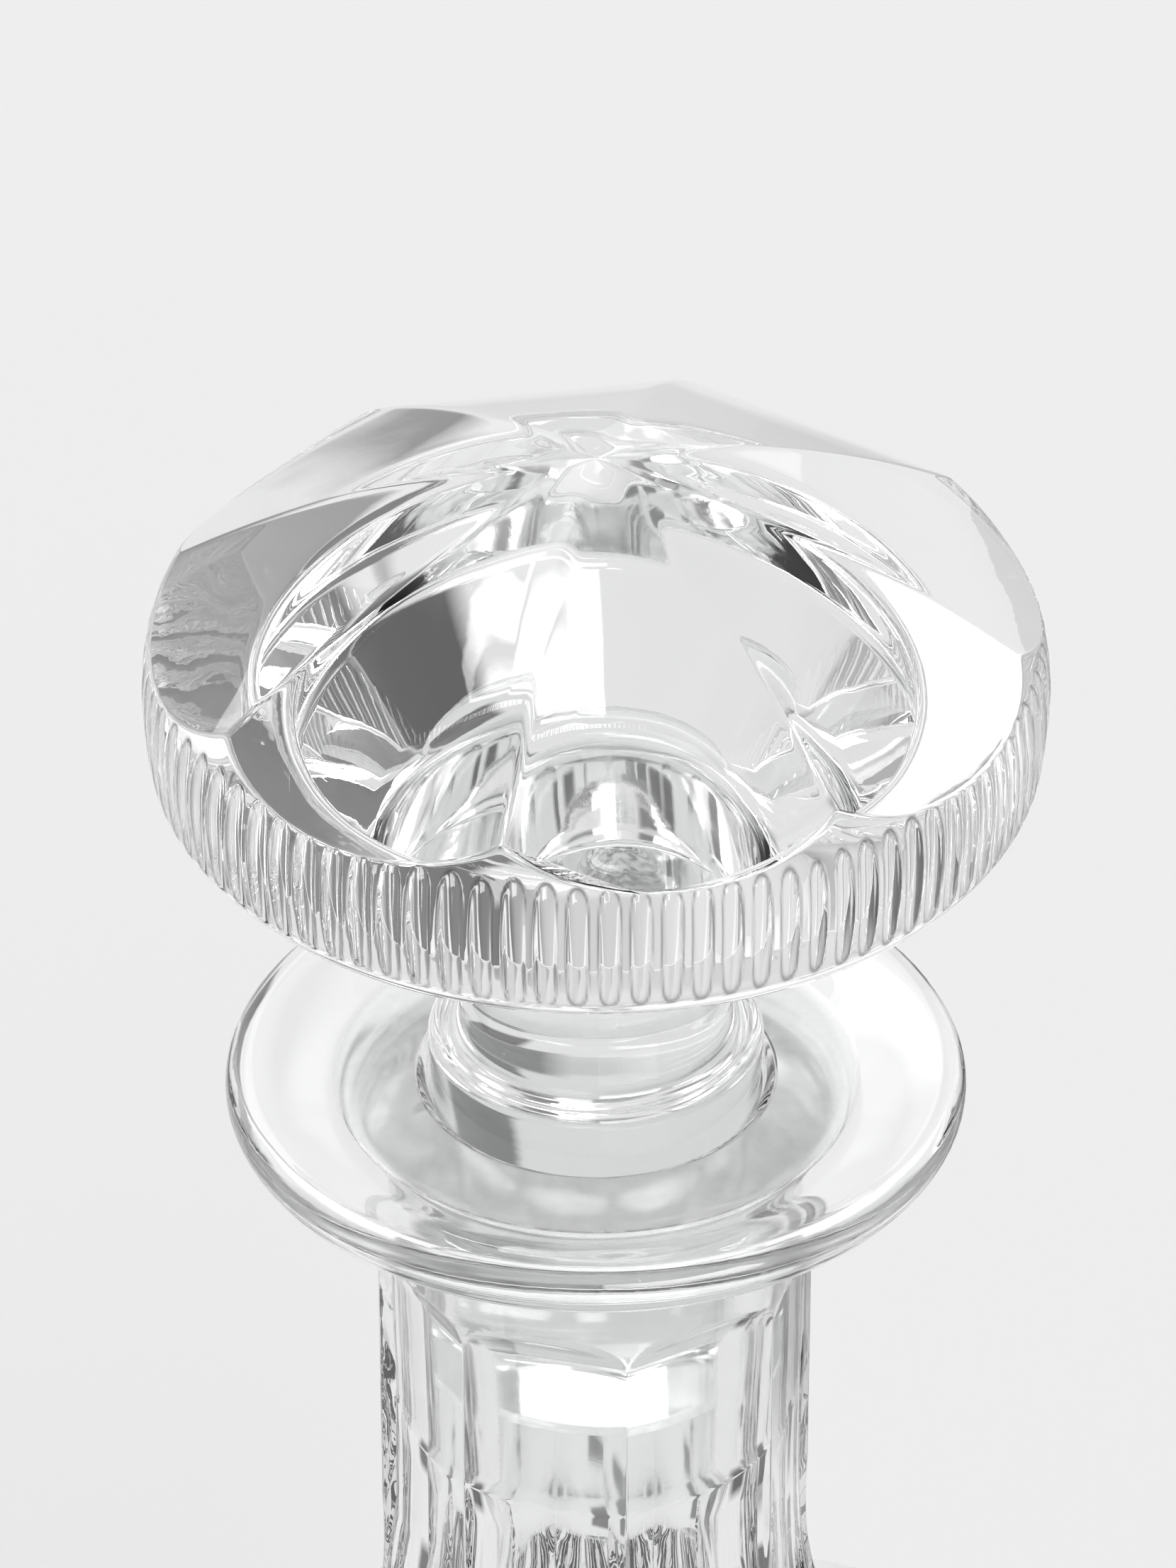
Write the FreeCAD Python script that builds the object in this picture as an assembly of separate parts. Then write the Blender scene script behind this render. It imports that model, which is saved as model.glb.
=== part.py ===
# Cut-glass decanter: a bottle with a wide lip, and a mushroom stopper that lifts out of its mouth.
# Millimetres, +Z up. The origin is the centre of the bottle's flat base.
import FreeCAD, Part
import math
import os
from FreeCAD import Vector

# --- bottle -----------------------------------------------------------------
BASE_RADIUS = 45.0          # flat standing face
BODY_RADIUS = 52.0          # widest part, at the shoulder
BASE_GLASS = 11.0           # thickness of the glass under the cavity
LIP_Z = 214.0               # mid-height of the rounded lip rim
LIP_RADIUS = 27.7
LIP_ROUND = 1.8             # rim is a full round of this radius
DISH_RADIUS = 19.6          # line where the rounded rim meets the flat around the mouth
DISH_Z = LIP_Z + 0.2
MOUTH_RADIUS = 12.6
MOUTH_Z = LIP_Z + 0.65
NECK_RADIUS = 16.6          # over the ridges between the neck panels
NECK_BOTTOM_Z = 170.0

# --- flat panels cut round the neck and shoulder ------------------------------
PANELS = 8
PANEL_AZIMUTH = 8.2         # first ridge, turned to the right of the front (-Y)
PANEL_APOTHEM = NECK_RADIUS * math.cos(math.pi / PANELS)
PANEL_CUSP_Z = 198.2        # where two panel arches meet under the lip
PANEL_RUNOUT = 4.1          # radius of the rounded end of a panel

# --- ground seat and plug -----------------------------------------------------
SEAT_TAPER = 0.05           # radius gained per mm of height
SEAT_BOTTOM_Z = 182.5
PLUG_BOTTOM_Z = 188.5
PLUG_TOP_Z = 219.2
PLUG_TOP_RADIUS = 12.6
PLUG_CLEARANCE = 0.05       # radial gap between plug and seat
PLUG_END_RADIUS = 7.8       # polished disc on the end of the plug
BORE_RADIUS = 10.95         # bore of the neck below the ground seat

# --- stopper ------------------------------------------------------------------
SHANK_RADIUS = 10.2
HEAD_Z = 242.5              # lower edge of the head
HEAD_RADIUS = 33.0
APEX_Z = 269.0
COLLAR_RADIUS = 18.6        # stepped collar under the head
COLLAR_Z = 236.0            # lower edge of the collar, where its cone starts
COLLAR_ROUND = 0.6
COLLAR_FILLET = 1.3         # between the collar and the flat underside
CONE_RADIUS = 11.2          # cone under the collar ends here, just above the shank
CONE_Z = 229.5
FACETS = 8
FACET_AZIMUTH = -12.3       # first ridge between two facets
FACET_CURVE = 79.0          # each facet is a shallow cylinder of this radius
FACET_SHIFT = 16.7          # its axis lies this far beyond the centre line
FACET_DEPTH = 77.25         # and this far below the apex
FLUTES = 92
FLUTE_CUT_RADIUS = 1.45
FLUTE_DEPTH = 0.38


def plug_radius(z):
    """Radius of the tapered plug at height z."""
    return PLUG_TOP_RADIUS - SEAT_TAPER * (PLUG_TOP_Z - z)


def seat_radius(z):
    """Radius of the ground seat at height z."""
    return plug_radius(z) + PLUG_CLEARANCE


def at(r, z):
    """A point of a profile in the XZ plane."""
    return Vector(r, 0.0, z)


def line(a, b):
    return Part.makeLine(at(*a), at(*b))


def arc(a, mid, b):
    return Part.Arc(at(*a), at(*mid), at(*b)).toShape()


def spline(points, start=None, end=None):
    """Smooth curve through (r, z) points, with optional end directions."""
    curve = Part.BSplineCurve()
    if start and end:
        curve.interpolate([at(*p) for p in points], InitialTangent=at(*start), FinalTangent=at(*end))
    else:
        curve.interpolate([at(*p) for p in points])
    return curve.toShape()


def turned(edges):
    """Solid of revolution about Z from a closed profile."""
    face = Part.Face(Part.Wire(edges))
    return face.revolve(Vector(0, 0, 0), Vector(0, 0, 1), 360)


def round_corner(center, radius, start_deg, end_deg):
    """Profile arc about a centre, between two directions measured from +r towards +z."""
    pts = []
    for t in (start_deg, (start_deg + end_deg) / 2.0, end_deg):
        a = math.radians(t)
        pts.append((center[0] + radius * math.cos(a), center[1] + radius * math.sin(a)))
    return arc(*pts), pts[0], pts[2]


def turn(shape, azimuth):
    """Copy of a shape turned about Z; azimuth 0 is the front (-Y), positive to the right (+X)."""
    copy = shape.copy()
    copy.rotate(Vector(0, 0, 0), Vector(0, 0, 1), azimuth - 90.0)
    return copy


# Outline of the bottle's body from the foot to the neck, shared by the glass and the panel cut.
FOOT = (48.3, 4.2)
BODY_OUTLINE = [FOOT, (50.4, 50.0), (51.9, 88.0), (BODY_RADIUS, 100.0), (50.6, 115.0), (45.6, 130.0), (36.8, 142.0),
                (27.0, 150.5), (20.4, 158.5), (17.4, 166.5), (NECK_RADIUS, 176.0)]


def bottle_glass():
    """Outer form of the bottle before the panels are cut, without its cavity."""
    foot, foot_a, foot_b = round_corner((BASE_RADIUS, 3.6), 3.6, -90, -8)
    rim_c = (LIP_RADIUS - LIP_ROUND, LIP_Z)
    rim, rim_a, rim_b = round_corner(rim_c, LIP_ROUND, -78, 100)
    under = [(NECK_RADIUS + 0.1, 203.0), (17.0, 207.5), (18.3, 210.0), (21.6, 211.5), rim_a]
    edges = [
        line((0, 0), foot_a),
        foot,
        spline([foot_b] + BODY_OUTLINE[1:], (0.05, 1), (0, 1)),
        line((NECK_RADIUS, 176.0), under[0]),
        spline(under, (0.02, 1), (1, 0.25)),
        rim,
        spline([rim_b, (23.0, LIP_Z + 1.45), (DISH_RADIUS, DISH_Z)], (-1, -0.03), (-1, -0.55)),
        line((DISH_RADIUS, DISH_Z), (MOUTH_RADIUS + 1.0, MOUTH_Z)),
        line((MOUTH_RADIUS + 1.0, MOUTH_Z), (0, MOUTH_Z)),
        line((0, MOUTH_Z), (0, 0)),
    ]
    return turned(edges)


def panel_prism():
    """Bar whose two curved sides are opposite panels; the bottle keeps only what is inside it."""
    a = PANEL_APOTHEM
    k = math.cos(math.pi / PANELS)
    top = (a + PANEL_RUNOUT, PANEL_CUSP_Z + PANEL_RUNOUT)
    mid = (a + PANEL_RUNOUT * (1 - math.cos(math.pi / 4)), PANEL_CUSP_Z + PANEL_RUNOUT * math.sin(math.pi / 4))
    low = [(r * k, z) for r, z in BODY_OUTLINE[:4:-1]]
    shoulder = low + [(50.3, 112.0), (56.0, 104.0)]
    side = [
        line((70, 240), (70, top[1])),
        line((70, top[1]), top),
        arc(top, mid, (a, PANEL_CUSP_Z)),
        line((a, PANEL_CUSP_Z), shoulder[0]),
        spline(shoulder, (0, -1), (0.9, -1)),
        line(shoulder[-1], (70, 100)),
        line((70, 100), (70, -5)),
    ]
    wire = Part.Wire(side + [line((70, -5), (0, -5)), line((0, -5), (0, 240)), line((0, 240), (70, 240))])
    half = Part.Face(wire).extrude(Vector(0, 160, 0))
    half.translate(Vector(0, -80, 0))
    other = half.copy()
    other.rotate(Vector(0, 0, 0), Vector(0, 0, 1), 180)
    return half.fuse(other).removeSplitter()


def cavity():
    """Hollow of the bottle: body, neck bore, ground seat and rounded mouth."""
    corner, corner_a, corner_b = round_corner((33.0, BASE_GLASS + 12.0), 12.0, -90, 0)
    seat_top = MOUTH_Z - 2.0
    wall = [corner_b, (46.4, 60.0), (47.4, 90.0), (47.2, 101.0), (44.9, 114.5), (39.8, 126.5), (31.0, 137.0),
            (21.5, 145.5), (15.2, 154.5), (12.7, 163.5), (BORE_RADIUS, 172.0)]
    edges = [
        line((0, BASE_GLASS), corner_a),
        corner,
        spline(wall, (0.1, 1), (0, 1)),
        line(wall[-1], (BORE_RADIUS, SEAT_BOTTOM_Z - 0.5)),
        line((BORE_RADIUS, SEAT_BOTTOM_Z - 0.5), (seat_radius(SEAT_BOTTOM_Z), SEAT_BOTTOM_Z)),
        line((seat_radius(SEAT_BOTTOM_Z), SEAT_BOTTOM_Z), (seat_radius(seat_top), seat_top)),
        spline([(seat_radius(seat_top), seat_top), (12.55, MOUTH_Z - 0.75), (MOUTH_RADIUS + 1.0, MOUTH_Z)],
               (0.05, 1), (1, 0.1)),
        line((MOUTH_RADIUS + 1.0, MOUTH_Z), (MOUTH_RADIUS + 1.0, MOUTH_Z + 5)),
        line((MOUTH_RADIUS + 1.0, MOUTH_Z + 5), (0, MOUTH_Z + 5)),
        line((0, MOUTH_Z + 5), (0, BASE_GLASS)),
    ]
    return turned(edges)


def bottle():
    shape = bottle_glass()
    bar = panel_prism()
    for i in range(PANELS // 2):
        shape = shape.common(turn(bar, PANEL_AZIMUTH + (i + 0.5) * 360.0 / PANELS))
    return shape.cut(cavity())


def head():
    """Fluted disc with a domed top of shallow facets."""
    side = [(31.6, HEAD_Z + 0.25), (32.35, HEAD_Z + 1.4), (32.75, HEAD_Z + 3.4), (HEAD_RADIUS, HEAD_Z + 6.8),
            (32.75, HEAD_Z + 10.0), (32.2, HEAD_Z + 12.0), (31.0, HEAD_Z + 14.0), (28.0, HEAD_Z + 17.4),
            (20.0, HEAD_Z + 23.5), (0.0, APEX_Z + 3.0)]
    edges = [
        line((0, HEAD_Z), (30.8, HEAD_Z)),
        line((30.8, HEAD_Z), side[0]),
        spline(side, (0.5, 1), (-1, 0)),
        line(side[-1], (0, HEAD_Z)),
    ]
    shape = turned(edges)
    for i in range(FACETS):
        facet = Part.makeCylinder(FACET_CURVE, 200, Vector(-FACET_SHIFT, -100, APEX_Z - FACET_DEPTH), Vector(0, 1, 0))
        shape = shape.common(turn(facet, FACET_AZIMUTH + (i + 0.5) * 360.0 / FACETS))
    axis_radius = HEAD_RADIUS + FLUTE_CUT_RADIUS - FLUTE_DEPTH
    flute = Part.makeCylinder(FLUTE_CUT_RADIUS, 30, Vector(axis_radius, 0, HEAD_Z - 5))
    return shape.cut([turn(flute, i * 360.0 / FLUTES) for i in range(FLUTES)])


def stem():
    """Collar, cone, shank and tapered plug below the head."""
    cove, cove_a, cove_b = round_corner((COLLAR_RADIUS + COLLAR_FILLET + 0.2, HEAD_Z - COLLAR_FILLET), COLLAR_FILLET,
                                        90, 178)
    rim, rim_a, rim_b = round_corner((COLLAR_RADIUS - COLLAR_ROUND, COLLAR_Z + COLLAR_ROUND), COLLAR_ROUND, 0, -48)
    fillet, fil_a, fil_b = round_corner((SHANK_RADIUS + 1.4, PLUG_TOP_Z + 1.4), 1.4, 180, 270)
    edge, edge_a, edge_b = round_corner((plug_radius(PLUG_TOP_Z - 1.0) - 1.0, PLUG_TOP_Z - 1.0), 1.0, 90, 3)
    chamfer = PLUG_BOTTOM_Z + 1.6
    shank_top = (SHANK_RADIUS, CONE_Z - 3.0)
    edges = [
        line((0, HEAD_Z + 2.0), (cove_a[0], HEAD_Z + 2.0)),
        line((cove_a[0], HEAD_Z + 2.0), cove_a),
        cove,
        line(cove_b, rim_a),
        rim,
        line(rim_b, (CONE_RADIUS, CONE_Z)),
        spline([(CONE_RADIUS, CONE_Z), (SHANK_RADIUS + 0.25, CONE_Z - 1.1), shank_top], (-1, -0.9), (0, -1)),
        line(shank_top, fil_a),
        fillet,
        line(fil_b, edge_a),
        edge,
        line(edge_b, (plug_radius(chamfer), chamfer)),
        line((plug_radius(chamfer), chamfer), (PLUG_END_RADIUS + 0.6, PLUG_BOTTOM_Z)),
        line((PLUG_END_RADIUS + 0.6, PLUG_BOTTOM_Z), (0, PLUG_BOTTOM_Z)),
        line((0, PLUG_BOTTOM_Z), (0, HEAD_Z + 2.0)),
    ]
    return turned(edges)


def stopper():
    return head().fuse(stem()).removeSplitter()


os.makedirs("parts", exist_ok=True)
for name, shape in (("bottle", bottle()), ("stopper", stopper())):
    print(name, shape.ShapeType, len(shape.Solids), shape.isValid(), round(shape.Volume, 1), len(shape.Faces))
    shape.exportStep(os.path.join("parts", name + ".step"))
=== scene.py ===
import math

import bpy
import numpy as np
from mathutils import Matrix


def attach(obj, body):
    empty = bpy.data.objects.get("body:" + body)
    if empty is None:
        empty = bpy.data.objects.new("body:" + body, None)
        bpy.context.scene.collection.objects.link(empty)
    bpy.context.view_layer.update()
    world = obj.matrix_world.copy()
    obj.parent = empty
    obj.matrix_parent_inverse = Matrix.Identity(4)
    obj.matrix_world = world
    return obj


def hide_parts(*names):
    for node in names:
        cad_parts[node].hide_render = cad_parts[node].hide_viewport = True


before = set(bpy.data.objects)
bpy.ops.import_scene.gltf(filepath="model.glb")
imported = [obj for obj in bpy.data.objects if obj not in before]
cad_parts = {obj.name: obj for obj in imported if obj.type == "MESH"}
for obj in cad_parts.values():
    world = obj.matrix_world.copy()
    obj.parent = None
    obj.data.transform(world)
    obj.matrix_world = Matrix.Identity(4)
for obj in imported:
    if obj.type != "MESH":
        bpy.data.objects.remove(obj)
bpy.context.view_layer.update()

MM = 0.001
rng = np.random.default_rng(7)

# ------------------------------------------------------------------ sizes (mm, z up from the base)
BASE_R, BASE_GLASS, FOOT_ROUND = 45.0, 11.0, 3.6
BODY = [(50.4, 50.0), (51.9, 88.0), (52.0, 100.0), (50.6, 115.0)]
SHOULDER = [(45.6, 130.0), (36.8, 142.0), (26.7, 150.2), (19.9, 158.1), (16.95, 166.2), (16.6, 176.0)]
NECK_R, NECK_Z, NECK_TOP_Z = 16.6, 176.0, 196.5
LIP_Z, LIP_R, LIP_ROUND, LIP_FROM, LIP_TO = 214.0, 27.7, 1.8, -78, 100
DISH_R, DISH_Z, DISH_MID = 19.6, 214.2, (23.0, 215.45)
MOUTH_R, MOUTH_Z, MOUTH_EDGE = 12.6, 214.65, 1.0

PANELS, PANEL_AZ, CUSP_Z, RUNOUT = 8, 8.2, 198.2, 4.1
PANEL_END = [(50.3, 112.0), (56.0, 104.0)]  # the panels leave the glass here, on the shoulder
PANEL_SOFT = 0.12
UNCUT = 80.0  # a panel this far from the axis cuts nothing

PLUG_TOP_Z, PLUG_BOTTOM_Z, PLUG_R, TAPER, GAP = 219.2, 188.5, 12.6, 0.05, 0.05
PLUG_ROUND, PLUG_CHAMFER, PLUG_END_R = 1.0, 1.6, 8.4
SEAT_TOP_Z, SEAT_BOTTOM_Z = MOUTH_Z - 2.0, 182.5
BORE_R, BORE_TOP_Z, BORE_BOTTOM_Z = 10.95, 182.0, 172.0
CAVITY = [(12.7, 163.5), (15.2, 154.5), (21.5, 145.5), (31.0, 137.0), (39.8, 126.5), (44.9, 114.5),
          (47.2, 101.0), (47.4, 90.0), (46.4, 60.0), (45.0, 23.0)]
CAVITY_R, CAVITY_ROUND = 33.0, 12.0

HEAD_Z, HEAD_R, APEX_Z = 242.5, 33.0, 269.0
HEAD_OUTLINE = [(31.6, 0.25), (32.35, 1.4), (32.75, 3.4), (33.0, 6.8), (32.75, 10.0), (32.2, 12.0),
                (31.0, 14.0), (28.0, 17.4), (20.0, 23.5), (0.0, 29.5)]  # heights above the head's lower edge
EDGE_R, EDGE_ROUND = 30.9, 0.7
COLLAR_R, COLLAR_Z, COLLAR_ROUND = 18.6, 236.0, 0.6
COLLAR_CORNER = (COLLAR_R - 0.2, COLLAR_Z + 0.154)  # where its rounded rim ends and the cone starts
COVE, COVE_LEAN = 1.3, 0.2
CONE_R, CONE_Z = 11.2, 229.5
SHANK_R, SHANK_TOP_Z, SHANK_FILLET = 10.2, 226.5, 1.4

FACETS, FACET_AZ = 8, -12.3
# each facet is part of a cylinder: its radius, and its axis beyond the centre line and below the apex
CURVE, SHIFT, DEPTH = 79.0, 16.7, 77.25
RIDGE_SOFT = 0.20
EDGE_SEARCH = (5.0, 26.0)  # the facets' edge lies between these lengths along the outline
EDGE_SOFT = (0.02, 0.015)  # r and z by which that edge is softened

# flutes round the edge of the head; heights are above its lower edge
FLUTES, CUT_R, FLUTE_SOFT, PER_FLUTE = 92, 1.02, 0.03, 14
FLUTE_DRIFT, FLUTE_DRIFT_AZ = 5.5, 95.0  # degrees by which their spacing strays round the head
FLUTE_DEPTH, DEPTH_SWING, DEPTH_SWING_AZ = 0.46, 0.12, 6
AZ_JITTER, WIDTH_JITTER, DEPTH_JITTER = 0.10, 0.05, 0.07
BAND_TOP, BAND_LOW, BAND_END = 9.4, 4.2, 1.6
LOW_DEEPER, LOW_FROM, LOW_OVER = 0.17, 6.0, 3.5
TOP_DEEPER, TOP_FROM, TOP_OVER = 0.22, 8.0, 2.5

# ------------------------------------------------------------------ studio
# azimuth 0 is behind the decanter, +90 to its right, 180 the camera's side; all angles in degrees
BASE, BACKDROP = 0.85, 0.855
SHADES = [  # az from, az to, el from, el to, softness of az and el edges, factor
    (62, 140, 7, 70, 10, 5, 0.26),
    (-92, -48, 52, 70, 6, 4, 0.20),
    (-122, -92, 18, 36, 5, 3, 0.55),
    (122, 190, -5, 26, 8, 4, 0.55),
    (50, 120, 3, 9, 8, 3, 0.40),
    (-120, -60, 5, 16, 8, 3, 0.45),
]
LIGHTS = [  # same, with the radiance added
    (126, 177, 33, 52, 0.8, 0.8, 9.0),
    (128, 176, 28.5, 31, 0.8, 0.3, 9.0),
    (-58, 56, 0, 33, 8, 3, 0.30),
    (-62, -26, 18, 36, 3, 2, 0.25),
    (-40, 5, 34, 60, 4, 2, 1.70),
]
FLAGS = [  # dark cards on the table, seen only in the glass: az from, to, r from, to (m), softness, factor
    (20, 44, 0.235, 0.56, 1.5, 0.012, 0.16),
    (9, 46, 0.58, 40, 4.0, 0.04, 0.22),
    (-8, 9, 0.75, 40, 4.0, 0.08, 0.80),
    (50, 79, 0.32, 1.4, 5.0, 0.05, 0.10),
    (-79, -54, 0.32, 1.4, 5.0, 0.05, 0.10),
]
FLOOR_HALF = 30  # m
FLOOR_ALBEDO, FLOOR_GLOW, FLOOR_ROUGH = 0.26, 0.523, 0.9

# ------------------------------------------------------------------ look of the glass
IOR = 1.53
POLISHED_TINT, GROUND_TINT = (0.994, 0.998, 0.997), (0.94, 0.95, 0.95)
# painted shade at the flute rim: width (mm), strength and dark colour, standing in for the dark outlines that
# refraction draws at the cuts
RIM_SHADE_WIDTH, RIM_SHADE_STRENGTH, RIM_SHADE_COLOUR = 0.09, 0.95, (0.10, 0.10, 0.10, 1)
SMEAR_ROUGH, SMEAR_TINT = 0.04, 0.12
ZONE_SOFT, ZONE_WANDER = 0.12, 1.2  # mm
DUST_PER_MM, DUST_SIZE, DUST_RARE = 0.30, 0.030, 6.0  # cells per mm, largest speck (cells), thinning power
DUST_ROUGH, DUST_COVER = 0.8, 0.85
WAVE_HEIGHT, FINE_HEIGHT, HAIR_DEPTH, GRIT_HEIGHT = 0.12, 0.0036, -0.00035, 0.002

# ground zones: r from, r to, z from, z to (mm), roughness, whiteness
PLUG_ZONE = (10.0, 13.2, PLUG_BOTTOM_Z + 1.4, MOUTH_Z - 1.2, 0.05, 0.0)
SEAT_ZONE = (9.0, 13.2, SEAT_BOTTOM_Z, MOUTH_Z - 1.4, 0.09, 0.10)
RING_ZONE = (MOUTH_R + 0.9, DISH_R - 0.1, DISH_Z - 1.5, 217.0, 0.20, 0.30)

# ------------------------------------------------------------------ camera, fitted to the photograph
ELEV, DIST, FPX = math.radians(34.748), 0.696623, 13422.479
FRAME_H, SENSOR_H = 2212.0, 36.0
AIM = np.array([-0.585, 0.0, 240.549]) * MM


# ------------------------------------------------------------------ curve helpers
def spline(points, n):
    """n points along a natural cubic spline through (r, z) points, spaced by length."""
    p = np.array(points, float)
    t = np.concatenate([[0], np.cumsum(np.linalg.norm(np.diff(p, axis=0), axis=1))])
    m = len(p)
    a = np.zeros((m, m))
    b = np.zeros((m, 2))
    h = np.diff(t)
    a[0, 0] = a[-1, -1] = 1.0
    for i in range(1, m - 1):
        a[i, i - 1], a[i, i], a[i, i + 1] = h[i - 1], 2 * (h[i - 1] + h[i]), h[i]
        b[i] = 6 * ((p[i + 1] - p[i]) / h[i] - (p[i] - p[i - 1]) / h[i - 1])
    s = np.linalg.solve(a, b)
    q = np.linspace(0, t[-1], n)
    i = np.clip(np.searchsorted(t, q, side="right") - 1, 0, m - 2)
    u = (q - t[i])[:, None]
    v = (t[i + 1] - q)[:, None]
    hi = h[i][:, None]
    return (s[i] * v ** 3 + s[i + 1] * u ** 3) / (6 * hi) + (p[i] / hi - s[i] * hi / 6) * v \
        + (p[i + 1] / hi - s[i + 1] * hi / 6) * u


def on_arc(cr, cz, radius, angle):
    """Point of a profile arc, in a direction measured in degrees from +r towards +z."""
    return cr + radius * math.cos(math.radians(angle)), cz + radius * math.sin(math.radians(angle))


def arc(cr, cz, radius, a0, a1, n):
    a = np.radians(np.linspace(a0, a1, n))
    return np.stack([cr + radius * np.cos(a), cz + radius * np.sin(a)], 1)


def lerp(a, b, n):
    return np.linspace(a, b, n)


def chain(*parts):
    """Profile pieces joined end to end, without repeating the point where two meet."""
    out = [np.array(parts[0], float)]
    for p in parts[1:]:
        p = np.array(p, float)
        if np.linalg.norm(p[0] - out[-1][-1]) < 1e-6:
            p = p[1:]
        out.append(p)
    return np.concatenate(out)


def smin(a, b, k):
    """The smaller of two lengths, with the change between them rounded over k."""
    h = np.maximum(k - np.abs(a - b), 0) / k
    return np.minimum(a, b) - h * h * k / 4


def crowded(first, count, half):
    """Azimuths round the axis and their angle from mid-panel, crowded towards the ridges between panels."""
    step = 360.0 / count
    one = np.array(half + [step / 2] + [step - h for h in half[:0:-1]])
    az = np.concatenate([first + step * i + one for i in range(count)])
    return az, np.tile(one - step / 2, count)


def even(count):
    return np.arange(count) * 360.0 / count


class Skin:
    """A closed skin grown ring by ring around Z; every ring has its own list of azimuths (degrees).

    Each point also carries a rim weight, how close it lies to the sharp rim of a cut, which sets the dark
    shade painted there.
    """

    def __init__(self):
        self.v, self.f, self.rims, self.last = [], [], [], None

    def pole(self, z):
        self.v.append((0.0, 0.0, z))
        self.rims.append(0.0)
        i = len(self.v) - 1
        if self.last is not None:
            _, ids = self.last
            n = len(ids)
            self.f += [(ids[j], i, ids[(j + 1) % n]) for j in range(n)]
        self.last = (None, [i])

    def ring(self, az, r, z, rim=0.0):
        az = np.asarray(az, float)
        self.rims += list(np.broadcast_to(rim, az.shape))
        a = np.radians(az)
        r = np.broadcast_to(r, az.shape)
        z = np.broadcast_to(z, az.shape)
        base = len(self.v)
        self.v += list(zip(r * np.sin(a), -r * np.cos(a), z))
        ids = list(range(base, base + len(az)))
        if self.last is not None:
            self.join(az, ids)
        self.last = (az, ids)

    def join(self, az, ids):
        """Faces between the last ring or pole and a new ring, which may have another number of points."""
        laz, lids = self.last
        n, m = len(ids), len(lids)
        if laz is None:
            self.f += [(lids[0], ids[j], ids[(j + 1) % n]) for j in range(n)]
            return
        if n == m:
            self.f += [(lids[j], ids[j], ids[(j + 1) % n], lids[(j + 1) % n]) for j in range(n)]
            return
        i = j = 0
        while i < m or j < n:
            la = laz[i + 1] if i + 1 < m else laz[0] + 360
            ra = az[j + 1] if j + 1 < n else az[0] + 360
            if j >= n or (i < m and la <= ra):
                self.f.append((lids[i % m], ids[j % n], lids[(i + 1) % m]))
                i += 1
            else:
                self.f.append((lids[i % m], ids[j % n], ids[(j + 1) % n]))
                j += 1

    def mesh(self, name, flip=False):
        me = bpy.data.meshes.new(name)
        faces = [f[::-1] for f in self.f] if flip else self.f
        me.from_pydata([(x * MM, y * MM, z * MM) for x, y, z in self.v], [], faces)
        me.polygons.foreach_set("use_smooth", [True] * len(me.polygons))
        # per-point rim weight, which sets the shade painted along the sharp rim of each flute cut
        me.attributes.new("rim", "FLOAT", "POINT").data.foreach_set("value", self.rims)
        me.update()
        ob = bpy.data.objects.new(name, me)
        bpy.context.scene.collection.objects.link(ob)
        return ob


# ------------------------------------------------------------------ stopper
def plug_radius(z):
    return PLUG_R - TAPER * (PLUG_TOP_Z - z)


def facet_z(u):
    """Height of a facet at distance u along its own direction."""
    return APEX_Z - DEPTH + np.sqrt(CURVE ** 2 - (u + SHIFT) ** 2)


def dome_z(r, az):
    """Height of the faceted dome, with ridges softened a little."""
    half = 180.0 / FACETS
    d = (np.asarray(az) - FACET_AZ) % (2 * half)
    c0 = np.cos(np.radians(d - half))
    c1 = np.cos(np.radians(d + half))
    c2 = np.cos(np.radians(d - 3 * half))
    z = facet_z(r * c0)
    return smin(smin(z, facet_z(r * c1), RIDGE_SOFT), facet_z(r * c2), RIDGE_SOFT)


# the turned head before the facets and flutes are cut
BLANK = spline(HEAD_OUTLINE, 4000) + [0, HEAD_Z]
BLANK_S = np.concatenate([[0], np.cumsum(np.linalg.norm(np.diff(BLANK, axis=0), axis=1))])


def blank_at(s):
    """The outline's radius and height at length s along it."""
    return np.interp(s, BLANK_S, BLANK[:, 0]), np.interp(s, BLANK_S, BLANK[:, 1])


def blank_s(height):
    """Length along the outline at a height above the head's lower edge."""
    return float(np.interp(HEAD_Z + height, BLANK[:, 1], BLANK_S))


def facet_edge_s(az):
    """Where the facets cut the turned blank, as a length along its profile, found by halving."""
    az = np.asarray(az, float)
    lo = np.full(az.shape, EDGE_SEARCH[0])
    hi = np.full(az.shape, EDGE_SEARCH[1])
    for _ in range(40):
        mid = (lo + hi) / 2
        r, z = blank_at(mid)
        above = z > dome_z(r, az)
        hi = np.where(above, mid, hi)
        lo = np.where(above, lo, mid)
    return (lo + hi) / 2


# flutes: slightly uneven, as hand-guided cuts are
flute_az = even(FLUTES) + FLUTE_DRIFT * np.sin(np.radians(even(FLUTES) + FLUTE_DRIFT_AZ))
flute_az = np.sort(flute_az + rng.normal(0, AZ_JITTER, FLUTES))
flute_w = 1.0 + rng.normal(0, WIDTH_JITTER, FLUTES)
swing = DEPTH_SWING * np.sin(np.radians(3 * (flute_az + DEPTH_SWING_AZ)))
flute_d = (FLUTE_DEPTH - swing) * (1.0 + rng.normal(0, DEPTH_JITTER, FLUTES))


def flute_samples():
    """Azimuths round the band, the flute each belongs to and its angle from that flute's middle."""
    az, which, off = [], [], []
    for i in range(FLUTES):
        a = flute_az[i]
        b = flute_az[(i + 1) % FLUTES] + (360 if i == FLUTES - 1 else 0)
        for q in np.arange(PER_FLUTE) / PER_FLUTE:
            az.append(a + (b - a) * q)
            which.append(i if q < 0.5 else (i + 1) % FLUTES)
            off.append((b - a) * q if q < 0.5 else (b - a) * (q - 1))
    return np.array(az), np.array(which), np.array(off)


FAZ, FWHICH, FOFF = flute_samples()


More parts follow.
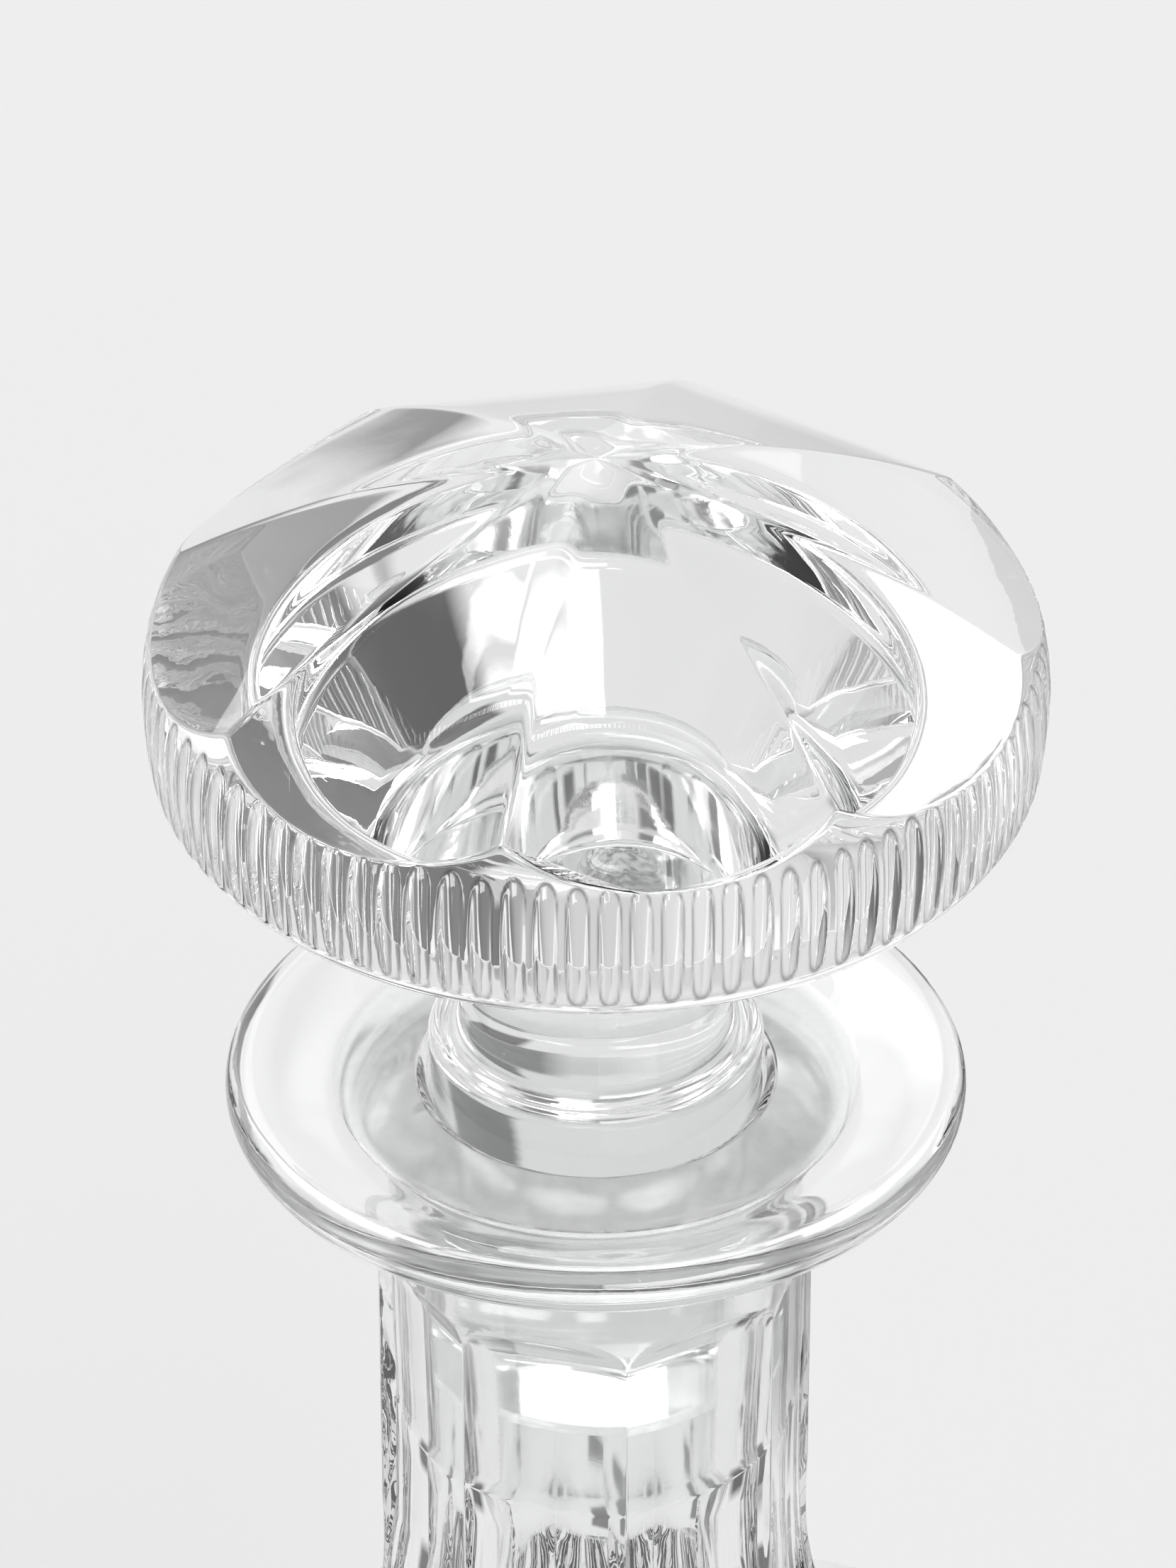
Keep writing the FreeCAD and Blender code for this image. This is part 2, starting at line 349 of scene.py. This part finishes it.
def cut_radius():
    """Radius of the flute cuts at the band's azimuth samples."""
    rad = CUT_R * flute_w[FWHICH]
    axis = HEAD_R + rad - flute_d[FWHICH]
    s = np.clip(axis * np.sin(np.radians(FOFF)), -rad * 0.999, rad * 0.999)
    return axis * np.cos(np.radians(FOFF)) - np.sqrt(rad ** 2 - s ** 2)


def dome(sk):
    az, _ = crowded(FACET_AZ, FACETS, [0.0, 0.3, 0.6, 1.0, 1.5, 2.3, 3.5, 5.5, 8.0, 11.0, 14.5, 18.5])
    r_edge, _ = blank_at(facet_edge_s(az))
    sk.pole(float(dome_z(np.array([0.0]), np.array([0.0]))[0]))
    inner = [0.012, 0.03, 0.055, 0.085, 0.12]
    outer = [0.96, 0.975, 0.985, 0.992, 0.9965]
    for t in np.concatenate([inner, np.linspace(0.16, 0.94, 34), outer]):
        r = r_edge * t
        sk.ring(az, r, dome_z(r, az))


def band(sk):
    """Upright edge of the head with its flutes, from the facets' edge down."""
    s_edge = facet_edge_s(FAZ)
    r_edge, z_edge = blank_at(s_edge)
    cut = cut_radius()
    sk.ring(FAZ, r_edge - EDGE_SOFT[0], z_edge - EDGE_SOFT[1])
    s_top, s_low, s_end = blank_s(BAND_TOP), blank_s(BAND_LOW), blank_s(BAND_END)
    rows = [s_edge + (s_top - s_edge) * t for t in np.linspace(0, 1, 18)[1:]]
    rows += [np.full(FAZ.shape, s) for s in np.linspace(s_top, s_low, 7)[1:]]
    rows += [np.full(FAZ.shape, s) for s in np.linspace(s_low, s_end, 14)[1:]]
    for s in rows:
        r, z = blank_at(s)
        up = z - HEAD_Z
        low = LOW_DEEPER * np.clip((LOW_FROM - up) / LOW_OVER, 0, 1)
        top = TOP_DEEPER * np.clip((up - TOP_FROM) / TOP_OVER, 0, 1)
        deep = cut - low - top
        # the last value weights the dark shade painted along each flute's sharp rim
        sk.ring(FAZ, smin(r, deep, FLUTE_SOFT), z, np.exp(-((r - deep) / RIM_SHADE_WIDTH) ** 2))


def underside():
    """Profile from the foot of the band to the end of the plug."""
    low = np.stack(blank_at(np.linspace(blank_s(BAND_END), 0, 7)[1:]), 1)
    cove_z = HEAD_Z - COVE
    rim_z = COLLAR_Z + COLLAR_ROUND
    fillet_z = PLUG_TOP_Z + SHANK_FILLET
    round_z = PLUG_TOP_Z - PLUG_ROUND
    side_z = round_z - 0.05
    chamfer_z = PLUG_BOTTOM_Z + PLUG_CHAMFER
    chamfer = (plug_radius(chamfer_z), chamfer_z)
    end = (PLUG_END_R, PLUG_BOTTOM_Z)
    cone = (CONE_R, CONE_Z)
    shank = (SHANK_R, SHANK_TOP_Z)
    return chain(
        low,
        arc(EDGE_R, HEAD_Z + EDGE_ROUND, EDGE_ROUND, -20, -90, 5),
        lerp((EDGE_R - EDGE_ROUND, HEAD_Z), (COLLAR_R + COVE + COVE_LEAN, HEAD_Z), 14),
        arc(COLLAR_R + COVE + COVE_LEAN, cove_z, COVE, 90, 178, 12),
        lerp((COLLAR_R + COVE_LEAN, cove_z), (COLLAR_R, rim_z), 6),
        arc(COLLAR_R - COLLAR_ROUND, rim_z, COLLAR_ROUND, 0, -48, 8),
        lerp(COLLAR_CORNER, cone, 12),
        spline([cone, (SHANK_R + 0.25, CONE_Z - 1.1), shank], 14),
        lerp(shank, (SHANK_R, fillet_z), 6),
        arc(SHANK_R + SHANK_FILLET, fillet_z, SHANK_FILLET, 180, 270, 8),
        arc(plug_radius(round_z) - PLUG_ROUND, round_z, PLUG_ROUND, 90, 3, 8),
        lerp((plug_radius(side_z), side_z), chamfer, 26),
        lerp(chamfer, end, 4),
        lerp(end, (1.0, PLUG_BOTTOM_Z), 5))


def stopper():
    sk = Skin()
    dome(sk)
    band(sk)
    az = even(184)
    for r, z in underside():
        sk.ring(az, r, z)
    sk.pole(PLUG_BOTTOM_Z)
    return sk.mesh("stopper_glass", flip=False)


# ------------------------------------------------------------------ bottle
def seat_radius(z):
    return plug_radius(z) + GAP


def panel_radius(z):
    """Distance of the flat panels from the axis at height z."""
    k = math.cos(math.pi / PANELS)
    a = NECK_R * k
    low = [(r * k, zz) for r, zz in SHOULDER[::-1]] + PANEL_END
    p = spline(low, 400)[::-1]
    z = np.asarray(z, float)
    out = np.interp(z, p[:, 1], p[:, 0], left=UNCUT)
    out = np.where((z > NECK_Z) & (z <= CUSP_Z), a, out)
    dz = np.clip(z - CUSP_Z, 0, RUNOUT)
    top = a + RUNOUT - np.sqrt(RUNOUT ** 2 - dz ** 2)
    out = np.where(z > CUSP_Z, top, out)
    return np.where(z > CUSP_Z + RUNOUT, UNCUT, out)


def outside():
    """Outer profile from the standing face to the edge of the mouth, before the panels are cut."""
    rim = (LIP_R - LIP_ROUND, LIP_Z, LIP_ROUND)
    foot = on_arc(BASE_R, FOOT_ROUND, FOOT_ROUND, -8)
    neck = (NECK_R + 0.1, NECK_TOP_Z)
    under = [neck, (NECK_R + 0.1, 203.0), (17.0, 207.5), (18.3, 210.0), (21.6, 211.5), on_arc(*rim, LIP_FROM)]
    dish = (DISH_R, DISH_Z)
    return chain(
        arc(BASE_R, FOOT_ROUND, FOOT_ROUND, -90, -8, 9),
        spline([foot] + BODY + SHOULDER, 150),
        lerp((NECK_R, NECK_Z), neck, 8),
        spline(under, 60),
        arc(*rim, LIP_FROM, LIP_TO, 20),
        spline([on_arc(*rim, LIP_TO), DISH_MID, dish], 22),
        lerp(dish, (MOUTH_R + MOUTH_EDGE, MOUTH_Z), 6))


def inside():
    """Inner profile from the edge of the mouth down to the floor of the cavity."""
    top = (seat_radius(SEAT_TOP_Z), SEAT_TOP_Z)
    bottom = (seat_radius(SEAT_BOTTOM_Z), SEAT_BOTTOM_Z)
    bore = (BORE_R, BORE_TOP_Z)
    bore_end = (BORE_R, BORE_BOTTOM_Z)
    return chain(
        spline([(MOUTH_R + MOUTH_EDGE, MOUTH_Z), (12.55, MOUTH_Z - 0.75), top], 12),
        lerp(top, bottom, 20),
        lerp(bottom, bore, 3),
        lerp(bore, bore_end, 5),
        spline([bore_end] + CAVITY, 90),
        arc(CAVITY_R, BASE_GLASS + CAVITY_ROUND, CAVITY_ROUND, 0, -90, 12),
        lerp((CAVITY_R, BASE_GLASS), (4.0, BASE_GLASS), 6))


def bottle():
    sk = Skin()
    az, off = crowded(PANEL_AZ, PANELS, [0.0, 0.4, 0.9, 1.6, 2.6, 4.0, 6.0, 8.5, 11.5, 15.0, 18.8])
    slant = np.cos(np.radians(off))
    sk.pole(0.0)
    for r in (15.0, 30.0, 40.0):
        sk.ring(az, r, 0.0)
    for r, z in outside():
        sk.ring(az, smin(np.full(az.shape, r), panel_radius(z) / slant, PANEL_SOFT), z)
    az = even(128)
    for r, z in inside():
        sk.ring(az, r, z)
    sk.pole(BASE_GLASS)
    return sk.mesh("bottle_glass", flip=True)


# ------------------------------------------------------------------ shader arithmetic
class Nodes:
    """Small helper for building arithmetic node chains."""

    def __init__(self, tree):
        self.t = tree

    def math(self, op, a, b=0.0, clamp=False):
        n = self.t.nodes.new("ShaderNodeMath")
        n.operation = op
        n.use_clamp = clamp
        for i, v in enumerate((a, b)):
            if isinstance(v, (int, float)):
                n.inputs[i].default_value = v
            else:
                self.t.links.new(v, n.inputs[i])
        return n.outputs[0]

    def add(self, a, b):
        return self.math("ADD", a, b)

    def mul(self, a, b):
        return self.math("MULTIPLY", a, b)

    def invert(self, a):
        return self.math("SUBTRACT", 1.0, a)

    def ramp(self, x, lo, hi):
        """0 at lo to 1 at hi."""
        return self.math("MULTIPLY", self.math("SUBTRACT", x, lo), 1.0 / (hi - lo), clamp=True)

    def band(self, x, lo, hi, soft):
        """1 between lo and hi, with soft edges."""
        return self.mul(self.ramp(x, lo - soft, lo + soft), self.ramp(x, hi + soft, hi - soft))

    def patch(self, az, el, a0, a1, e0, e1, sa, se):
        return self.mul(self.band(az, a0, a1, sa), self.band(el, e0, e1, se))

    def scale(self, x, mask, factor):
        """x multiplied by factor where the mask is 1."""
        return self.mul(x, self.invert(self.mul(mask, 1.0 - factor)))

    def plus(self, x, mask, amount):
        """x with the amount added where the mask is 1."""
        return self.add(x, self.mul(mask, amount))

    def length(self, x, y):
        return self.math("SQRT", self.add(self.mul(x, x), self.mul(y, y)))

    def degrees(self, angle):
        return self.mul(angle, 180 / math.pi)

    def polar(self, x, y):
        """Studio azimuth of a direction, in degrees."""
        return self.degrees(self.math("ARCTAN2", x, y))

    def mix(self, mask, a, b):
        """Colour a, or b where the mask is 1; a may be a colour or a socket."""
        n = self.t.nodes.new("ShaderNodeMix")
        n.data_type = "RGBA"
        if isinstance(a, tuple):
            n.inputs[6].default_value = a
        else:
            self.t.links.new(a, n.inputs[6])
        n.inputs[7].default_value = b
        self.t.links.new(mask, n.inputs[0])
        return n.outputs[2]


# ------------------------------------------------------------------ materials
def crystal(name, seed, clear, zones):
    """Polished cut glass with smears, hairline scratches, a little dust and dark shade painted along the
    sharp rim of every flute cut.

    clear is the brightness of light through it; each zone is a ground band:
    r from, r to, z from, z to (mm), roughness, whiteness.
    """
    m = bpy.data.materials.new(name)
    m.use_nodes = True
    nt = m.node_tree
    k = Nodes(nt)
    shade = nt.nodes["Principled BSDF"]
    tc = nt.nodes.new("ShaderNodeTexCoord")
    here = nt.nodes.new("ShaderNodeVectorMath")
    here.operation = "SCALE"
    here.inputs[3].default_value = 1 / MM
    nt.links.new(tc.outputs["Object"], here.inputs[0])
    sep = nt.nodes.new("ShaderNodeSeparateXYZ")
    nt.links.new(here.outputs[0], sep.inputs[0])
    x, y, z = sep.outputs
    r = k.length(x, y)

    def noise(scale, detail=2.0, stretch=(1, 1, 1), offset=0.0):
        """Noise at a scale in waves per mm; the offset tells one use from another."""
        mp = nt.nodes.new("ShaderNodeMapping")
        mp.inputs["Scale"].default_value = stretch
        mp.inputs["Location"].default_value = (seed + offset, 0, 0)
        nt.links.new(here.outputs[0], mp.inputs["Vector"])
        n = nt.nodes.new("ShaderNodeTexNoise")
        n.inputs["Scale"].default_value = scale
        n.inputs["Detail"].default_value = detail
        nt.links.new(mp.outputs[0], n.inputs["Vector"])
        return n.outputs["Fac"]

    # ground zones: uneven edges and mottled roughness left by the grinding
    wander = k.mul(k.math("SUBTRACT", noise(0.9), 0.5), ZONE_WANDER)
    mottle = k.add(0.85, k.mul(noise(0.55, 4.0), 0.3))
    zz = k.add(z, wander)
    ground, grit, milk = 0.0, 0.0, 0.0
    for r0, r1, z0, z1, level, white in zones:
        zone = k.mul(k.band(r, r0, r1, ZONE_SOFT), k.band(zz, z0, z1, ZONE_SOFT))
        ground = k.add(ground, zone)
        grit = k.add(grit, k.mul(zone, k.mul(mottle, level)))
        milk = k.add(milk, k.mul(zone, k.mul(mottle, white)))
    # smears left by hands on the polished faces
    smear = k.ramp(noise(0.11, 3.0, (1, 1, 1.7), 7.0), 0.52, 0.75)
    film = k.mul(k.mul(smear, noise(0.9, 4.0, (1, 1, 0.35), 3.0)), SMEAR_ROUGH)
    rough = k.add(k.mul(film, k.invert(ground)), grit)
    # dust specks of uneven size, most of them too small to see
    vor = nt.nodes.new("ShaderNodeTexVoronoi")
    vor.inputs["Scale"].default_value = DUST_PER_MM
    nt.links.new(here.outputs[0], vor.inputs["Vector"])
    hue = nt.nodes.new("ShaderNodeSeparateXYZ")
    nt.links.new(vor.outputs["Color"], hue.inputs[0])
    size = k.mul(k.math("POWER", hue.outputs[0], DUST_RARE), DUST_SIZE)
    dust = k.math("GREATER_THAN", size, vor.outputs["Distance"])
    nt.links.new(k.math("MAXIMUM", rough, k.mul(dust, DUST_ROUGH)), shade.inputs["Roughness"])
    opaque = k.math("MAXIMUM", k.mul(dust, DUST_COVER), milk)
    nt.links.new(k.invert(opaque), shade.inputs["Transmission Weight"])
    # tint: clear, with a very faint grey where the surface is ground or smeared
    polished = tuple(c * clear for c in POLISHED_TINT) + (1,)
    greyed = tuple(c * clear for c in GROUND_TINT) + (1,)
    tint = k.mix(k.add(k.mul(ground, 0.8), k.mul(smear, SMEAR_TINT)), polished, greyed)
    # painted shade: a dark base colour along the sharp rim of each cut round the band, standing in for the
    # dark outlines that refraction draws there
    near = nt.nodes.new("ShaderNodeAttribute")
    near.attribute_name = "rim"
    nt.links.new(k.mix(k.mul(near.outputs["Fac"], RIM_SHADE_STRENGTH), tint, RIM_SHADE_COLOUR), shade.inputs["Base Color"])
    shade.inputs["IOR"].default_value = IOR
    # relief: polishing waves, hairline scratches, grit
    waves = k.mul(noise(0.085, 1.0, (1, 1, 1), 11.0), WAVE_HEIGHT)
    fine = k.mul(noise(0.45, 2.0, (1, 1, 1), 17.0), FINE_HEIGHT)
    hair = k.ramp(noise(1.4, 1.0, (1, 0.06, 0.5), 23.0), 0.72, 0.74)
    relief = k.add(k.add(waves, fine), k.mul(hair, HAIR_DEPTH))
    relief = k.add(relief, k.mul(ground, k.mul(noise(4.0, 2.0), GRIT_HEIGHT)))
    bump = nt.nodes.new("ShaderNodeBump")
    bump.inputs["Distance"].default_value = MM
    bump.inputs["Strength"].default_value = 1.0
    nt.links.new(relief, bump.inputs["Height"])
    nt.links.new(bump.outputs[0], shade.inputs["Normal"])
    return m


def put(ob, mat):
    ob.data.materials.clear()
    ob.data.materials.append(mat)


st = stopper()
put(st, crystal("stopper crystal", 0.0, 0.92, [PLUG_ZONE]))
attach(st, "stopper")
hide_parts("stopper")
bo = bottle()
put(bo, crystal("bottle crystal", 50.0, 0.97, [SEAT_ZONE, RING_ZONE]))
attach(bo, "bottle")
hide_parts("bottle")

# ------------------------------------------------------------------ floor
fl = bpy.data.meshes.new("floor")
corners = [(-1, -1), (1, -1), (1, 1), (-1, 1)]
fl.from_pydata([(x * FLOOR_HALF, y * FLOOR_HALF, 0) for x, y in corners], [], [(0, 1, 2, 3)])
floor = bpy.data.objects.new("floor", fl)
bpy.context.scene.collection.objects.link(floor)
fm = bpy.data.materials.new("floor")
fm.use_nodes = True
nt = fm.node_tree
k = Nodes(nt)
shade = nt.nodes["Principled BSDF"]
tc = nt.nodes.new("ShaderNodeTexCoord")
sep = nt.nodes.new("ShaderNodeSeparateXYZ")
nt.links.new(tc.outputs["Object"], sep.inputs[0])
fx, fy = sep.outputs[0], sep.outputs[1]
dist = k.length(fx, fy)
faz = k.polar(fx, fy)
rays = nt.nodes.new("ShaderNodeLightPath")
unseen = k.invert(rays.outputs["Is Camera Ray"])
level = 1.0
for a0, a1, r0, r1, sa, sr, factor in FLAGS:
    flag = k.patch(faz, dist, a0, a1, r0, r1, sa, sr)
    level = k.scale(level, k.mul(flag, unseen), factor)
lum = nt.nodes.new("ShaderNodeCombineColor")
albedo = k.mul(level, FLOOR_ALBEDO)
for i in range(3):
    nt.links.new(albedo, lum.inputs[i])
nt.links.new(lum.outputs[0], shade.inputs["Base Color"])
shade.inputs["Roughness"].default_value = FLOOR_ROUGH
shade.inputs["Specular IOR Level"].default_value = 0.0
shade.inputs["Emission Color"].default_value = (1, 1, 1, 1)
nt.links.new(k.mul(level, FLOOR_GLOW), shade.inputs["Emission Strength"])
put(floor, fm)

# ------------------------------------------------------------------ world
# the studio round the glass; the camera itself sees a plain backdrop
w = bpy.data.worlds.new("studio")
bpy.context.scene.world = w
w.use_nodes = True
nt = w.node_tree
k = Nodes(nt)
tc = nt.nodes.new("ShaderNodeTexCoord")
sep = nt.nodes.new("ShaderNodeSeparateXYZ")
nt.links.new(tc.outputs["Generated"], sep.inputs[0])
az = k.polar(sep.outputs[0], sep.outputs[1])
el = k.degrees(k.math("ARCSINE", sep.outputs[2]))
sky = BASE
for a0, a1, e0, e1, sa, se, factor in SHADES:
    sky = k.scale(sky, k.patch(az, el, a0, a1, e0, e1, sa, se), factor)
for a0, a1, e0, e1, sa, se, amount in LIGHTS:
    sky = k.plus(sky, k.patch(az, el, a0, a1, e0, e1, sa, se), amount)
rays = nt.nodes.new("ShaderNodeLightPath")
direct = rays.outputs["Is Camera Ray"]
bg = nt.nodes["Background"]
bg.inputs[0].default_value = (1, 1, 1, 1)
nt.links.new(k.add(k.mul(sky, k.invert(direct)), k.mul(direct, BACKDROP)), bg.inputs[1])

# ------------------------------------------------------------------ camera
cam = bpy.data.cameras.new("camera")
co = bpy.data.objects.new("camera", cam)
bpy.context.scene.collection.objects.link(co)
bpy.context.scene.camera = co
cam.sensor_fit = "VERTICAL"
cam.sensor_height = SENSOR_H
cam.lens = FPX / FRAME_H * SENSOR_H
co.location = AIM + DIST * np.array([0, -math.cos(ELEV), math.sin(ELEV)])
co.rotation_euler = (math.pi / 2 - ELEV, 0, 0)
cam.clip_start = 0.01
cam.clip_end = 50

sc = bpy.context.scene
sc.cycles.max_bounces = 24
sc.cycles.transmission_bounces = 24
sc.cycles.glossy_bounces = 12
sc.cycles.transparent_max_bounces = 12
sc.view_settings.view_transform = "Standard"
